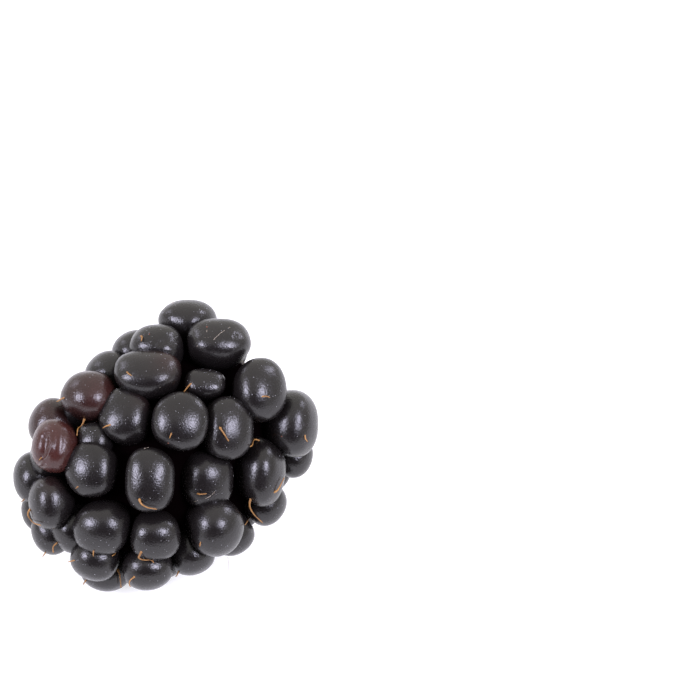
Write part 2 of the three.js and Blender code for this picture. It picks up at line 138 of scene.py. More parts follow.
# Drupelets of the best side, from the stem end down to the tip:
# (across, up, half width, half height, sunk), as in the CAD part.
DRUPELETS = (
    (1.6, 11, 2.6, 2.2, 1),
    (4.4, 9.2, 2.7, 2.2, 0),
    (-1.2, 8.8, 2.3, 2.1, -0.6),
    (-3, 8.3, 2.2, 2.2, 1.4),
    (-2, 6.4, 2.8, 2.1, 0),
    (-5.3, 6.3, 2.3, 2.3, 0.8),
    (3.1, 5.6, 1.7, 1.3, 0.9),
    (8, 5.1, 2.3, 2.7, 0),
    (-7.2, 4.5, 2.5, 2.2, 0),
    (-4, 2.7, 2.2, 2.4, 0),
    (0.9, 2.3, 2.3, 2.4, 0),
    (-10.4, 2.1, 2.3, 2.3, 1.5),
    (10.8, 2.1, 2.4, 2.9, 0.6),
    (5.1, 1.7, 2.2, 2.6, 0.1),
    (-6.7, 0.6, 1.5, 1.5, 0.9),
    (-10.3, 0.1, 2, 2.3, -0.6),
    (10.8, -0.7, 2.1, 2.1, 2),
    (-7, -2, 2.2, 2.3, 0),
    (8.1, -2.2, 2.2, 3, 0),
    (-11.8, -2.7, 2.3, 2.3, 1.2),
    (3.3, -2.8, 2.2, 2.5, 0),
    (-1.8, -2.9, 2, 2.6, 0),
    (8.3, -4.9, 2.2, 2.2, 2.4),
    (-10.6, -5, 2, 2.3, -0.9),
    (-11.4, -5.8, 2, 1.9, 3),
    (4, -7.1, 2.5, 2.6, -0.4),
    (-6.1, -7.2, 2.4, 2.3, -0.2),
    (-10.5, -7.5, 2, 2.2, 1.2),
    (5.4, -7.6, 2.2, 2.2, 2.4),
    (-1.3, -7.9, 2.1, 2.1, 0.2),
    (1.8, -9.3, 2.2, 2.2, 1.5),
    (-6.7, -9.8, 2.2, 2.2, 1),
    (-2, -10.6, 2.2, 2.2, 0.8),
    (-5.8, -10.8, 2.3, 2.2, 3),
)

# Styles of the best side, each from its root to its tip: (across, up) of every bend.
STYLES = (
    ((-9.45, 4.45), (-9.9, 4.05), (-10.2, 3.9)),
    ((-3.9, 6.75), (-3.6, 6.45), (-3.35, 6.35)),
    ((-2.7, 9.95), (-2.35, 9.85), (-2.5, 9.4)),
    ((-5.3, 2), (-5.6, 1.9), (-5.85, 1.75)),
    ((-7.65, 2.5), (-8.05, 1.8), (-8.15, 0.95)),
    ((-11.45, -0.9), (-11.6, -1.15)),
    ((-8.2, -3.5), (-8.35, -3.65)),
    ((1.9, 5.7), (1.6, 5.25), (1.3, 4.85)),
    ((0.15, 1.3), (0, 0.85)),
    ((4.45, 1.75), (4.75, 1.3), (5.2, 0.55)),
    ((8.05, 0.6), (7.55, 0.5), (7, 0.1)),
    ((8.2, 4.5), (8.55, 4.6), (8.8, 4.45)),
    ((12.15, 1.1), (11.95, 0.8), (12.2, 0.55)),
    ((-2.75, -4.65), (-2.55, -5), (-2, -5.3), (-1.2, -5.4)),
    ((2.4, -4.2), (2.8, -4.15), (3.25, -4.1)),
    ((7.2, -4.65), (7.25, -5.4), (7.65, -6), (8.35, -6.65)),
    ((9.35, -4.1), (9.7, -3.4), (10.05, -2.7)),
    ((7.05, -6.55), (6.85, -6.75), (6.5, -7)),
    ((2.7, -8.45), (2.8, -8.8)),
    ((-2.55, -9.35), (-2.8, -9.9), (-2.6, -10.15), (-2.1, -10.2), (-1.45, -10.15)),
    ((-6.85, -9.25), (-6.85, -9.8)),
    ((-4.8, -9.45), (-5.25, -9.55)),
    ((-8.55, -10.15), (-8.9, -10.25)),
    ((-7.55, -11.95), (-7.8, -12.35)),
    ((-4.7, -10.95), (-4.6, -11.75), (-4.5, -12.5)),
    ((-3.15, -11.6), (-3.55, -11.85), (-3.5, -12.5)),
    ((-11.15, -9.45), (-11.45, -9.85)),
    ((-13.05, -4.75), (-13.4, -4.95)),
    ((-12.55, -5.55), (-12.65, -6.05), (-12.25, -6.65), (-11.45, -6.85)),
    ((0.75, -11.15), (0.5, -11.65)),
)

# How unripe a drupelet of the best side is, by its row above.
UNRIPE = {8: 0.35, 11: 0.4, 15: 0.9}

# Red blushes: (row, across, up, reach, amount).
BLUSHES = (
    (4, 0.2, 8.3, 1.6, 0.35),
    (8, -5.6, 4.6, 1.8, 0.35),
    (9, -2.4, 4.2, 1.0, 0.12),
    (23, -10.6, -3.2, 1.2, 0.15),
)

# Creases, folds and dimples of the skin: (row, depth, width, bends), each bend (across, up).
# A fold stands up, so its depth is negative.
MARKS = (
    (15, 0.36, 0.4, ((-11.15, 0.75), (-11.25, -0.1), (-11.4, -0.9))),
    (15, -0.17, 0.13, ((-10.75, 1.0), (-10.6, 0.1), (-10.85, -0.75), (-11.5, -1.5))),
    (15, 0.05, 0.2, ((-10.15, 1.2), (-10.1, 0.3), (-10.25, -0.6))),
    (15, 0.03, 0.2, ((-9.5, 1.4), (-9.45, 0.5), (-9.6, -0.3))),
    (2, 0.09, 0.42, ((-0.95, 9.25), (-0.2, 9.6), (0.45, 9.85))),
    (2, 0.06, 0.3, ((0.3, 9.2), (0.7, 9.5))),
    (1, 0.05, 0.1, ((5.7, 9.95), (5.95, 10.1), (6.0, 9.85), (5.75, 9.8), (5.7, 9.95))),
)

MARK_FADE = 3  # a mark has its full depth wherever the skin faces the viewer by 1 / this or more

# Pale scratches on the skin: (across, up) of every bend.
SCRATCHES = (
    ((3.9, 9.6), (4.5, 10.2), (5.4, 10.75)),
    ((3.3, 10.5), (3.25, 10.1), (3.4, 9.75)),
    ((2.4, 9.0), (2.9, 9.3), (3.2, 9.8)),
    ((3.2, -4.6), (3.7, -4.4), (4.05, -3.95)),
    ((2.2, -4.9), (2.5, -4.75)),
    ((-2.3, -0.15), (-2.1, 0.0), (-1.9, -0.05)),
)

# Fine pale hairs, each from where it leaves the berry to its end: (across, up) of every bend.
HAIRS = (
    ((-12.7, 1.0), (-13.1, 1.2), (-13.9, 1.2)),
    ((0.3, 12.9), (-0.1, 13.5), (-0.5, 14.1)),
    ((-13.0, -4.6), (-13.9, -4.9), (-14.6, -4.1)),
    ((5.2, -9.9), (5.3, -10.7), (5.2, -11.5)),
    ((-0.9, 5.3), (-0.6, 5.9), (-0.2, 6.1)),
)
HAIR = {"radius": 0.022, "end_radius": 0.011, "spacing": 0.2, "sides": 5}

# Rusty dots on the skin: (across, up, radius).
DOTS = ((3.3, 10.75, 0.07), (10.0, 0.95, 0.06), (-1.85, 10.1, 0.06), (2.65, -8.7, 0.08), (-0.15, 0.35, 0.06))
DOT_DETAIL = 2

# Specks of dust on each drupelet, where its skin faces outward by at least "facing".
DUST = {"each": 90, "size": 0.027, "unevenness": 0.5, "flatness": 0.4, "facing": 0.5, "detail": 1}

# ---- numbers for scatter() ----

SINE_STEP, SINE_SIZE = 12.9898, 43758.5453
LUMP_SEEDS = (31, 7)  # between drupelets, and between the waves of one
FAR_STYLE_SEEDS = {"bend": 50, "length": 99}
STYLE_SEED = 7
# The first seed for dust, and the step between drupelets.
DUST_SEEDS = {"place": (1000, 17), "size": (2000, 13)}


# ---- directions ----


def unit(v):
    return v / np.linalg.norm(v, axis=-1, keepdims=True)


def best_side_axes():
    azimuth, elevation = math.radians(BEST_SIDE["azimuth"]), math.radians(BEST_SIDE["elevation"])
    level = math.cos(elevation)
    toward = np.array([math.sin(azimuth) * level, -math.cos(azimuth) * level, math.sin(elevation)])
    across = np.array([math.cos(azimuth), math.sin(azimuth), 0.0])
    return across, np.cross(toward, across), toward


ACROSS, UP, TOWARD = best_side_axes()
DIP = math.radians(BARREL["dip"])
STEMWARD = np.array([0.0, math.cos(DIP), math.sin(DIP)])
SIDEWAYS = np.array([1.0, 0.0, 0.0])
UPWARD = np.cross(SIDEWAYS, STEMWARD)


def best_side_point(across, up, depth):
    return across * ACROSS + up * UP + depth * TOWARD


def scatter(k):
    """A repeatable number from -1 to 1 for each whole number k."""
    s = math.sin(k * SINE_STEP) * SINE_SIZE
    return 2 * (s - math.floor(s)) - 1


# ---- the barrel; these take an array of points, one a row ----


def axis_parts(points):
    """How far along the long axis each point is, and its way out from that axis."""
    along = points @ STEMWARD
    return along, points - along[:, None] * STEMWARD


def barrel_share(points):
    """How far out each point is, where 1 is on the barrel."""
    along, out = axis_parts(points)
    k = BARREL["bluntness"]
    round_part = np.linalg.norm(out, axis=1) / BARREL["half_width"]
    return (round_part**k + (np.abs(along) / BARREL["half_length"]) ** k) ** (1 / k)


def onto_barrel(points, share):
    return points * (share / barrel_share(points))[:, None]


def outward(points):
    """The berry's own outward direction at each point."""
    along, out = axis_parts(points)
    slope = out / BARREL["half_width"] ** 2
    return unit(slope + along[:, None] * STEMWARD / BARREL["half_length"] ** 2)


def barrel_depth(across, up):
    """How near the viewer the barrel comes at a place of the best side."""
    depths = LOOK_FROM - DEPTH_STEP * np.arange(int(2 * LOOK_FROM / DEPTH_STEP))
    shares = barrel_share(best_side_point(across, up, 0.0) + depths[:, None] * TOWARD)
    inside = np.nonzero(shares < 1)[0]
    return depths[inside[0]] if len(inside) else depths[np.argmin(shares)]


# ---- where the drupelets sit ----


def best_side_places():
    """Middles, half widths and heights, and radii of the drupelets of the best side."""
    middles, halves = [], []
    for across, up, half_width, half_height, sunk in DRUPELETS:
        middle = best_side_point(across, up, barrel_depth(across, up) - sunk)
        swell = 1 + FLANKS * max(0.0, outward(middle[None])[0] @ TOWARD)
        middles.append(middle)
        halves.append((swell * half_width, swell * half_height))
    halves = np.array(halves)
    return np.array(middles), halves, halves.mean(axis=1)


def neighbour_push(middles, radii, best, draw):
    """How far each drupelet is pushed and drawn by its neighbours."""
    gaps = middles[:, None] - middles[None]
    distances = np.linalg.norm(gaps, axis=2) + np.eye(len(middles)) * FAR_APART
    sums = radii[:, None] + radii[None]
    least = sums * np.where(best[:, None] | best[None], PRESS, SPREAD)
    shares = np.where(distances < least, PUSH * (least - distances) / distances, 0.0)
    if draw:
        seen_gaps = np.hypot(gaps @ ACROSS, gaps @ UP)
        slack = best[:, None] & best[None] & (distances > SLACK * sums) & (seen_gaps < NEAR * sums)
        shares -= np.where(slack, draw * (distances - SLACK * sums) / distances, 0.0)
    return (shares[..., None] * gaps).sum(axis=1)


def outline_reach(across, up):
    """How far the outline of the best side reaches from the middle in each direction."""
    length = np.hypot(across, up)
    reach = np.zeros(len(across))
    for a, u, half_width, half_height, _ in DRUPELETS:
        radius = (half_width + half_height) / 2 - TUCKED
        along = (a * across + u * up) / length
        inside = along**2 - (a**2 + u**2 - radius**2)
        reach = np.where(inside > 0, np.maximum(reach, along + np.sqrt(np.maximum(inside, 0))), reach)
    return reach


def settled_far(points):
    """Far drupelets moved off the stem opening, the best side and its outline, and not too low."""
    along, out = axis_parts(points)
    widening = STEM_OPENING / np.linalg.norm(out, axis=1) - 1
    points = points + np.where((along > 0) & (widening > 0), widening, 0.0)[:, None] * out
    facing = np.maximum(0.0, outward(points) @ TOWARD - AWAY)
    points = onto_barrel(points - BACK_OFF * facing[:, None] * TOWARD, FAR_SHARE)
    across, up = points @ ACROSS, points @ UP
    room = (outline_reach(across, up) - FAR_RADIUS) / np.hypot(across, up)
    excess = np.minimum(1.0, room)[:, None] - 1
    points = points + excess * (across[:, None] * ACROSS + up[:, None] * UP)
    points[:, 2] = np.maximum(points[:, 2], LOWEST)
    return points


def settle(middles, radii, best, rounds, draw, hold):
    """Drupelets of the best side give way in depth only; the far ones slide over the barrel."""
    middles = middles.copy()
    home = middles[best] @ TOWARD
    for _ in range(rounds):
        push = neighbour_push(middles, radii, best, draw)
        depths = middles[best] @ TOWARD + push[best] @ TOWARD
        change = depths + hold * (home - depths) - middles[best] @ TOWARD
        far = middles[~best] + push[~best]
        middles[best] += change[:, None] * TOWARD
        if len(far):
            middles[~best] = settled_far(far)
    return middles


def spiral_places():
    """Places evenly spread over the whole barrel."""
    k = np.arange(TURNS)
    along = -1 + 2 * (k + 0.5) / TURNS
    out = np.sqrt(1 - along**2) * BARREL["half_width"]
    points = (
        (along * BARREL["half_length"])[:, None] * STEMWARD
        + (out * np.cos(k * GOLDEN_ANGLE))[:, None] * SIDEWAYS
        + (out * np.sin(k * GOLDEN_ANGLE))[:, None] * UPWARD
    )
    return onto_barrel(points, FAR_SHARE)


def far_places(taken):
    """Places for drupelets wherever the far side is still bare."""
    points = spiral_places()
    along, out = axis_parts(points)
    stem_opening = (along > 0) & (np.linalg.norm(out, axis=1) < STEM_OPENING * STEM_BARE)
    kept = list(taken)
    for p in points[~stem_opening & (outward(points) @ TOWARD <= AWAY)]:
        if np.linalg.norm(np.array(kept) - p, axis=1).min() >= CLEARANCE:
            kept.append(p)
    return np.array(kept[len(taken) :])


def far_form(k, normal):
    """The axes and halves of a drupelet of the far side, as in the CAD part."""
    round_axis = unit(np.cross(STEMWARD, normal))
    axes = np.array([round_axis, np.cross(normal, round_axis), normal])
    half = [FAR_RADIUS * (1 + FAR_UNEVENNESS * scatter(n)) for n in range(3 * k, 3 * k + 3)]
    return axes, np.array(half)


def lay_out():
    """Every drupelet as a dict, the best side first, with its CAD axes and halves."""
    middles, halves, radii = best_side_places()
    count = len(middles)
    middles = settle(middles, radii, np.full(count, True), ROUNDS_BEST, DRAW, HOLD_BEST)
    far = far_places(middles)
    radii = np.append(radii, np.full(len(far), FAR_RADIUS))
    best = np.arange(len(radii)) < count
    middles = settle(np.vstack([middles, far]), radii, best, ROUNDS_ALL, 0.0, HOLD_ALL)
    drupelets = []
    for i, (middle, normal) in enumerate(zip(middles, outward(middles))):
        drupelet = {"middle": middle, "normal": normal, "radius": radii[i], "best": best[i]}
        if best[i]:
            drupelet["seen"] = DRUPELETS[i][2:4]
            drupelet["axes"] = np.array([ACROSS, UP, TOWARD])
            drupelet["half"] = np.array([*halves[i], radii[i]])
        else:
            drupelet["axes"], drupelet["half"] = far_form(i - count, normal)
        drupelets.append(drupelet)
    return drupelets


def resting_move(drupelets):
    """The move that centres the berry over the origin and rests it on Z = 0."""
    middles = np.array([d["middle"] for d in drupelets])
    sizes = np.array([np.linalg.norm(d["axes"] * d["half"][:, None], axis=0) for d in drupelets])
    low, high = (middles - sizes).min(axis=0), (middles + sizes).max(axis=0)
    return np.array([-(low[0] + high[0]) / 2, -(low[1] + high[1]) / 2, -low[2] - CONTACT_DEPTH])


# ---- the shape of a drupelet ----


def dome_lean(drupelet):
    """The way the dome points: outward, or towards the viewer in part where it faces them."""
    normal = drupelet["normal"]
    if not drupelet["best"]:
        return normal
    facing = max(0.0, normal @ TOWARD)
    return unit(normal - LEAN_IN * facing * (normal - facing * TOWARD))


def dome_sides(drupelet):
    """Three square axes of the dome: two along its flanks, and the way it points."""
    lean, along = drupelet["lean"], drupelet["axes"][1]
    along = unit(along - (along @ lean) * lean)
    return np.array([np.cross(along, lean), along, lean])


def dome_maps(drupelet):
    """Matrices that take a unit sphere to the dome, which is flattened, and to the root.

    On the best side both are scaled so that their outline is as wide and high as measured.
    """
    lean, radius = drupelet["lean"], drupelet["radius"]
    flat = np.interp(drupelet["normal"] @ TOWARD, *zip(*DOME)) if drupelet["best"] else FAR_DOME
    view = np.array([ACROSS, UP, TOWARD])
    outer = radius * (np.eye(3) + (flat - 1) * np.outer(lean, lean))
    inner = radius * (np.eye(3) + (ROOT - 1) * np.outer(lean, lean))
    if drupelet["best"]:
        seen = np.linalg.norm(view @ outer, axis=1)
        scale = np.array([drupelet["half"][0] / seen[0], drupelet["half"][1] / seen[1], 1.0])
    else:
        scale = np.ones(3)
    stretch = view.T @ np.diag(scale) @ view
    return stretch @ outer, stretch @ inner


def smooth_radius(drupelet, directions):
    """How far the unpressed drupelet reaches in each direction."""
    outer, inner = drupelet["maps"]
    in_outer = directions @ np.linalg.inv(outer).T
    in_inner = directions @ np.linalg.inv(inner).T
    lift = directions @ drupelet["lean"]
    slope = np.clip(lift / TURN_IN, -1.0, 1.0)
    outer_share = (0.5 + 0.75 * slope - 0.25 * slope**3)[:, None]  # an even ramp with soft ends
    inside = outer_share * in_outer + (1 - outer_share) * in_inner
    across, along, out = np.abs(inside @ drupelet["sides"].T).T
    half = drupelet["half"]
    power = SQUARENESS["round"] + SQUARENESS["long"] * abs(math.log(half[0] / half[1]))
    flank = (across**power + along**power) ** (PILLOW / power)
    return (flank + out**PILLOW) ** (-1 / PILLOW)


def lumps(directions, k):
    """Low, smooth unevenness, from a few waves in scattered directions."""
    total = np.zeros(len(directions))
    for wave in range(LUMP_WAVES["count"]):
        seed = LUMP_SEEDS[0] * k + LUMP_SEEDS[1] * wave
        heading = unit(np.array([scatter(seed), scatter(seed + 1), scatter(seed + 2)]))
        frequency = LUMP_WAVES["first"] + LUMP_WAVES["step"] * wave
        phase = frequency * directions @ heading + LUMP_WAVES["start"] * scatter(seed + 3)
        total += np.sin(phase) / (1 + LUMP_WAVES["fade"] * wave)
    return total / 2


def wall_towards(drupelet, other):
    """The heading of a neighbour and how far off the wall they share is, or None."""
    gap = other["middle"] - drupelet["middle"]
    distance = np.linalg.norm(gap)
    if other is drupelet or distance > NEARBY * (drupelet["radius"] + other["radius"]):
        return None
    heading = gap / distance
    own = smooth_radius(drupelet, heading[None])[0]
    its = smooth_radius(other, -heading[None])[0]
    if distance > TOUCHING * (own + its):
        return None
    wall = (distance**2 + own**2 - its**2) / (2 * distance) - CREASE_GAP / 2
    return heading, min(max(wall, PRESSED[0] * own), PRESSED[1] * own)


def pressed_radius(drupelet, directions, drupelets):
    """The drupelet's reach once its neighbours have flattened its flanks."""
    inverse, crowding = 0.0, 0.0
    for heading, wall in filter(None, (wall_towards(drupelet, other) for other in drupelets)):
        facing = np.maximum(directions @ heading, SIDELONG)
        inverse += (wall / facing) ** -CREASE_SHARPNESS
        crowding += facing**CROWDING_POWER
    reach = smooth_radius(drupelet, directions) * (1 + (FULLNESS - 1) * np.tanh(crowding))
    return (inverse + reach**-CREASE_SHARPNESS) ** (-1 / CREASE_SHARPNESS)


def refit(drupelet, points):
    """Swells or draws in a pressed drupelet to the width and height that the best side shows."""
    facing = max(0.0, drupelet["normal"] @ TOWARD)
    for axis, half in zip((ACROSS, UP), drupelet["seen"]):
        offset = (points - drupelet["middle"]) @ axis
        low, high = offset.min(), offset.max()
        share = 2 * half * (1 + DARK_RIM * facing) / (high - low)
        share = np.clip(share, REFIT["least"], REFIT["most"])
        centre = (low + high) / 2
        shift = np.clip(-centre, -REFIT["shift"], REFIT["shift"])
        points = points + (shift + (share - 1) * (offset - centre))[:, None] * axis
    return points


def distance_to_line(across, up, bends):
    """Distance of each (across, up) from a line of straight stretches."""
    points = np.stack([across, up], axis=1)
    nearest = np.full(len(points), np.inf)
    for start, end in zip(bends[:-1], bends[1:]):
        start, way = np.array(start), np.array(end) - np.array(start)
        share = np.clip((points - start) @ way / (way @ way), 0.0, 1.0)
        nearest = np.minimum(nearest, np.linalg.norm(points - start - share[:, None] * way, axis=1))
    return nearest


def press_marks(k, drupelet, points):
    """Presses the marks of one drupelet into the side that faces the viewer."""
    inward = unit(drupelet["middle"] - points)
    facing = np.clip(-(inward @ TOWARD) * MARK_FADE, 0.0, 1.0)
    across, up = points @ ACROSS, points @ UP
    for row, depth, width, bends in MARKS:
        if row == k:
            share = np.exp(-((distance_to_line(across, up, bends) / width) ** 2))
            points = points + (depth * share * facing)[:, None] * inward
    return points


def drupelet_points(k, drupelets, directions):
    """The finished outside of one drupelet, a point in each direction."""
    drupelet = drupelets[k]
    reach = pressed_radius(drupelet, directions, drupelets)
    reach = reach * (1 + LUMPS * lumps(directions, k))
    points = drupelet["middle"] + reach[:, None] * directions
    if drupelet["best"]:
        points = refit(drupelet, points)
    return press_marks(k, drupelet, points)


def unripeness(k, points):
    """How unripe the skin is at each point, from 0 to 1."""
    across, up = points @ ACROSS, points @ UP
    amount = np.full(len(points), UNRIPE.get(k, 0.0))
    for row, a, u, reach, extra in BLUSHES:
        if row == k:
            amount += extra * np.exp(-(((across - a) ** 2 + (up - u) ** 2) / reach**2))
    return np.clip(amount, 0.0, 1.0)


# ---- meshes ----


def ball(detail):
    """Directions and faces of an evenly divided sphere."""
    mesh = bmesh.new()
    bmesh.ops.create_icosphere(mesh, subdivisions=detail, radius=1.0)
    directions = np.array([v.co[:] for v in mesh.verts])
    faces = [[v.index for v in f.verts] for f in mesh.faces]
    mesh.free()
    return unit(directions), faces


def ring_faces(rings, sides):
    """Faces of a closed surface made of rings, each ring a run of points."""
    faces = []
    for ring in range(rings - 1):
        for k in range(sides):
            a, b = ring * sides + k, ring * sides + (k + 1) % sides
            faces.append([a, b, b + sides, a + sides])
    faces.append(list(range(sides))[::-1])
    faces.append([(rings - 1) * sides + k for k in range(sides)])
    return faces


def tube(path, radii, sides):
    """Points and faces of a closed tube round a path."""
    tangents = unit(np.gradient(path, axis=0))
    side = unit(np.cross(tangents[0], ODD_WAY))
    points = []
    for place, tangent, radius in zip(path, tangents, radii):
        side = unit(side - (side @ tangent) * tangent)
        other = np.cross(tangent, side)
        for k in range(sides):
            angle = 2 * math.pi * k / sides
            points.append(place + radius * (math.cos(angle) * side + math.sin(angle) * other))
    return np.array(points), ring_faces(len(path), sides)


def joined(shapes):
    """One list of points and one of faces, from the (points, faces) of several shapes."""
    points, faces = [], []
    for new_points, new_faces in shapes:
        faces += [[len(points) + i for i in face] for face in new_faces]
        points += list(new_points)
    return points, faces


def add_object(name, data):
    obj = bpy.data.objects.new(name, data)
    bpy.context.collection.objects.link(obj)
    return obj


def add_mesh(name, points_mm, faces, material, slot):
    """A smooth-shaded object from points in millimetres, riding on the berry."""
    mesh = bpy.data.meshes.new(name)
    mesh.from_pydata((np.asarray(points_mm) * MM).tolist(), [], faces)
    mesh.polygons.foreach_set("use_smooth", [True] * len(mesh.polygons))
    mesh.materials.append(material)
    mesh.update()
    obj = add_object(name, mesh)
    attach(obj, "root")
    return obj


def give_points(obj, name, values):
    """Gives each point of a mesh a number that its material reads."""
    attribute = obj.data.attributes.new(name, "FLOAT", "POINT")
    attribute.data.foreach_set("value", values)


def rest_on_floor(points):
    """Flattens whatever would reach below the surface the berry lies on."""
    points[:, 2] = np.maximum(points[:, 2], 0.0)
    return points


def make_drupelet(k, drupelets, move, material):
    fine = any(row == k for row, *_ in MARKS)
    directions, faces = ball(FINE_DETAIL if fine else DETAIL)
    points = drupelet_points(k, drupelets, directions)
    obj = add_mesh(f"drupelet_{k + 1:02d}", rest_on_floor(points + move), faces, material, "skin")
    give_points(obj, "unripe", unripeness(k, points))
    return obj


def flesh_points(drupelets, directions):
    """The flesh follows the middles of the nearest drupelets."""
    middles = np.array([d["middle"] for d in drupelets])
    distances = np.linalg.norm(middles, axis=1)
    weights = np.exp(FLESH["sharpness"] * (directions @ (middles / distances[:, None]).T - 1))
    share = np.interp(directions @ TOWARD, FLESH["facing"], (FLESH["hidden_share"], FLESH["share"]))
    reach = share * (weights @ distances) / weights.sum(axis=1)
    points = reach[:, None] * directions
    beyond = np.maximum(points @ STEMWARD - FLESH_END, 0.0)
    return points - beyond[:, None] * STEMWARD


def make_flesh(drupelets, move, material):
    """The flesh between the drupelets, near black and without reflection: painted shade that fills the deep
    creases.
    """
    directions, faces = ball(DETAIL)
    points = rest_on_floor(flesh_points(drupelets, directions) + move)
    flesh = add_mesh("flesh", points, faces, material, "skin")
    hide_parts("berry")


def ripples(waves, around, along):
    """The sum of some waves, each (times round, slant, start)."""
    return sum(np.sin(times * around + slant * along + start) for times, slant, start in waves)


def receptacle_points():
    """The torn end of the core that the drupelets grew on: dished, with fibres down its sides."""
    lengths = np.linspace(0, 1, len(RECEPTACLE))
    at = np.linspace(0, 1, RECEPTACLE_RINGS)
    along, radius = (np.interp(at, lengths, column) for column in zip(*RECEPTACLE))
    around = 2 * math.pi * np.arange(RECEPTACLE_SIDES) / RECEPTACLE_SIDES
    along, around = (grid.ravel() for grid in np.meshgrid(along, around, indexing="ij"))
    radius = np.repeat(radius, RECEPTACLE_SIDES)
    edge = radius / RECEPTACLE[0][1]
    lobes = LOBE_SHARE * ripples(LOBES, around, along)
    radius = radius * (1 + lobes) + FIBRE_DEPTH * edge * ripples(FIBRES, around, along)
    along = along + FIBRE_DEPTH * ripples(END_RIPPLES, around, radius)
    return (
        along[:, None] * STEMWARD
        + (radius * np.cos(around))[:, None] * SIDEWAYS
        + (radius * np.sin(around))[:, None] * UPWARD
    )


def make_receptacle(move, material):
    points, faces = receptacle_points(), ring_faces(RECEPTACLE_RINGS, RECEPTACLE_SIDES)
    obj = add_mesh("receptacle", points + move, faces, material, "skin")
    radius = np.linalg.norm(axis_parts(points)[1], axis=1)
    give_points(obj, "darkening", np.interp(radius, DARKENING_RADII, (0.0, 1.0)))


# ---- styles, hairs and dust ----


class Skin:
    """The finished drupelets, for finding where a line of sight meets them."""

    def __init__(self, objects, move):
        meshes = [obj.data for obj in objects]
        points, faces = joined(
            ([v.co for v in mesh.vertices], [p.vertices for p in mesh.polygons]) for mesh in meshes
        )
        self.tree = BVHTree.FromPolygons(points, faces)
        self.move = move

    def meet(self, start, direction):
        """Where a line first meets the skin, and the way the skin faces there, or None."""
        place, normal, _, _ = self.tree.ray_cast(Vector(start * MM), Vector(direction))
        return None if place is None else (np.array(place) / MM, np.array(normal))

    def seen(self, across, up):
        """What a line of sight meets at a place of the best side."""
        return self.meet(best_side_point(across, up, 2 * LOOK_FROM) + self.move, -TOWARD)

    def depth(self, across, up, otherwise):
        """How near the viewer the skin is there."""
        found = self.seen(across, up)
        return (found[0] - self.move) @ TOWARD if found else otherwise


def way_along(points):
    """The length of the way from the first of some points to each of them."""
    return np.concatenate([[0.0], np.cumsum(np.linalg.norm(np.diff(points, axis=0), axis=1))])


def close_spaced(bends, spacing):
    """Evenly spaced places along the bends."""
    bends = np.array(bends, dtype=float)
    lengths = way_along(bends)
    count = max(4, int(lengths[-1] / spacing) + 1)
    at = np.linspace(0.0, lengths[-1], count)
    return np.stack([np.interp(at, lengths, column) for column in bends.T], axis=1)


def smoothed(path):
    """Rounds off the bends between the two ends."""
    for _ in range(BEND_ROUNDS):
        path[1:-1] = (path[:-2] + 2 * path[1:-1] + path[2:]) / 4
    return path


def best_side_style_path(bends, skin):
    """A style rises from the skin, lies close over it and bridges the creases that it crosses."""
    path, last = [], -math.inf
    places = close_spaced(bends, STYLE["spacing"])
    for (across, up), travelled in zip(places, way_along(places)):
        found = skin.seen(across, up)
        depth = max(skin.depth(across, up, -math.inf), last - STYLE["drop"])
        point = best_side_point(across, up, depth) + skin.move
        if not path and found:
            path.append(found[0] - STYLE["sunk"] * found[1])
        if found:
            point = point + STYLE["lift"] * min(1.0, travelled / STYLE["rise"]) * found[1]
        path.append(point)
        last = depth
    return np.array(path)


def style_lean(drupelet):
    """The way a style of the far side grows: outward, and over towards the tip."""
    return unit(drupelet["axes"][2] - STYLE_LEAN * STEMWARD)


def far_style_path(k, drupelet, skin):
    """A short style that grows straight out and then bends aside."""
    axes, middle, lean = drupelet["axes"], drupelet["middle"] + skin.move, style_lean(drupelet)
    found = skin.meet(middle + 2 * drupelet["radius"] * lean, -lean)
    root = found[0] if found else middle + drupelet["radius"] * lean
    bend = scatter(k) * axes[0] + scatter(k + FAR_STYLE_SEEDS["bend"]) * axes[1]
    length = FAR_STYLE["length"] * (1 + FAR_STYLE["unevenness"] * scatter(k + FAR_STYLE_SEEDS["length"]))
    bends = [
        root - STYLE["sunk"] * lean,
        root + FAR_STYLE["straight"] * length * lean,
        root + FAR_STYLE["end"] * length * lean + FAR_STYLE["aside"] * length * bend,
    ]
    return close_spaced(bends, STYLE["spacing"])


def style_paths(drupelets, skin):
    """The best side's styles, then those of the far side, in the order of the CAD nodes."""
    paths = [best_side_style_path(bends, skin) for bends in STYLES]
    far = [d for i, d in enumerate(drupelets) if not d["best"] and i % FAR_STYLE_EVERY == 0]
    for k, drupelet in enumerate(far):
        lean = style_lean(drupelet)
        reach = lean / np.linalg.norm(drupelet["axes"] @ lean / drupelet["half"])
        cad_root = drupelet["middle"] + reach - STYLE["sunk"] * lean
        if (cad_root + skin.move)[2] > FLOOR_ROOM:
            paths.append(far_style_path(k, drupelet, skin))
    return paths


def make_style(k, path, material):
    path = smoothed(path)
    along = np.linspace(0.0, 1.0, len(path))
    radii = np.interp(along, *zip(*STYLE_RADII)) * (1 + STYLE_UNEVENNESS * scatter(k + STYLE_SEED))
    points, faces = tube(path, radii, STYLE_SIDES)
    obj = add_mesh(f"withered_style_{k + 1:02d}", points, faces, material, "style")
    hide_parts(f"style_{k + 1:02d}")


def fine_path(bends, on_skin, skin):
    """A hair keeps the depth at which it leaves the berry; a scratch lies on the skin."""
    depth = skin.depth(*bends[0], 0.0)
    path = []
    for across, up in close_spaced(bends, HAIR["spacing"]):
        if on_skin:
            depth = skin.depth(across, up, depth)
        path.append(best_side_point(across, up, depth) + skin.move)
    return smoothed(np.array(path))


